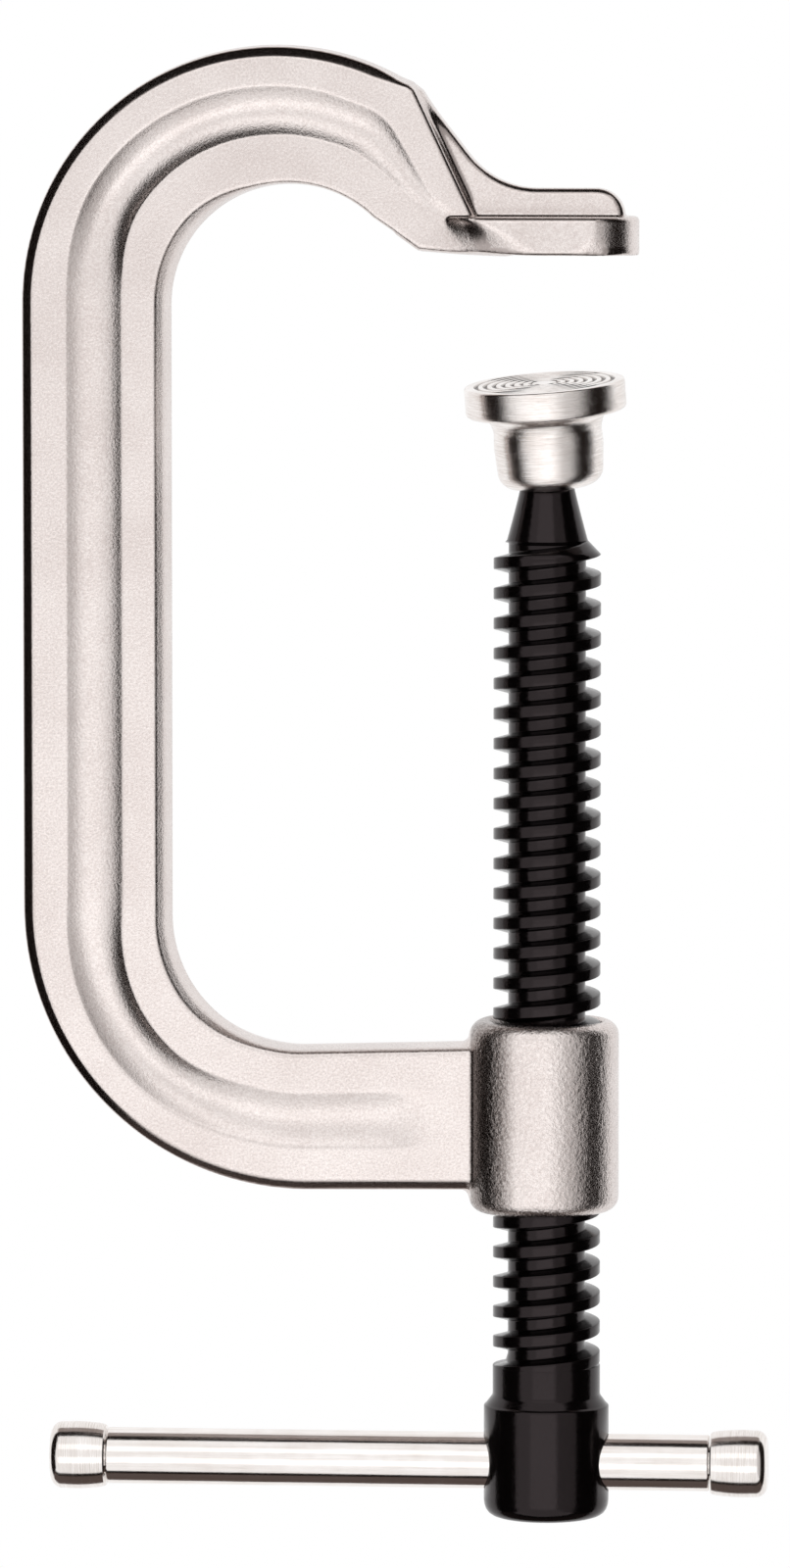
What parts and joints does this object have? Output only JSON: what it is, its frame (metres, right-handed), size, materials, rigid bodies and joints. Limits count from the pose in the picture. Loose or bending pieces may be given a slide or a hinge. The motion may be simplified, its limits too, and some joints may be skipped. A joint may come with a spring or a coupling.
{
  "type": "screw clamp",
  "caption": "Forged C-frame screw clamp with a coarse black trapezoidal screw, a swivel pressure pad and a sliding tommy bar.",
  "frame": {"origin": "centre of the anvil's clamping face, on the screw's axis", "axes": "+Z along the screw's axis from its head towards the anvil, +X from the frame's spine to the screw, +Y away from the pictured side"},
  "size_m": [0.174, 0.0377, 0.3433],
  "materials": {
    "forged_steel": "drop forged, trimmed and bead blasted to a matt silver",
    "black_oxide_steel": "machined and black oxide coated, lightly oiled",
    "turned_steel": "bright turned",
    "spring_steel": "drawn spring wire",
    "polished_steel": "bright polished"
  },
  "bodies": {
    "clamp_frame": {"frame": "forged_steel"},
    "swivel_ring": {"pad_retaining_ring": "spring_steel"},
    "screw": {"spindle": "black_oxide_steel"},
    "pad": {"pressure_pad": "turned_steel"},
    "handle": {"tommy_bar": "polished_steel", "bar_cap_left": "polished_steel", "bar_cap_right": "polished_steel"}
  },
  "joints": [
    {"name": "screw_travel", "type": "slide", "parent": "clamp_frame", "child": "swivel_ring", "axis": [0, 0, 1], "range_m": [-0.1125, 0.026]},
    {"name": "spindle_turn", "type": "hinge", "parent": "swivel_ring", "child": "screw", "pos_m": [0, 0, -0.2817], "axis": [0, 0, 1], "range_deg": [-5760, 1330]},
    {"name": "pad_tilt", "type": "hinge", "parent": "swivel_ring", "child": "pad", "pos_m": [0, 0, -0.0402], "axis": [0.8192, -0.5736, 0], "range_deg": [-15, 2]},
    {"name": "bar_slide", "type": "slide", "parent": "screw", "child": "handle", "axis": [1, 0, 0], "range_m": [-0.0237, 0.0883]}
  ],
  "couplings": [
    {"joint": "screw_travel", "follows": "spindle_turn", "m_per_rad": 0.0011141}
  ]
}
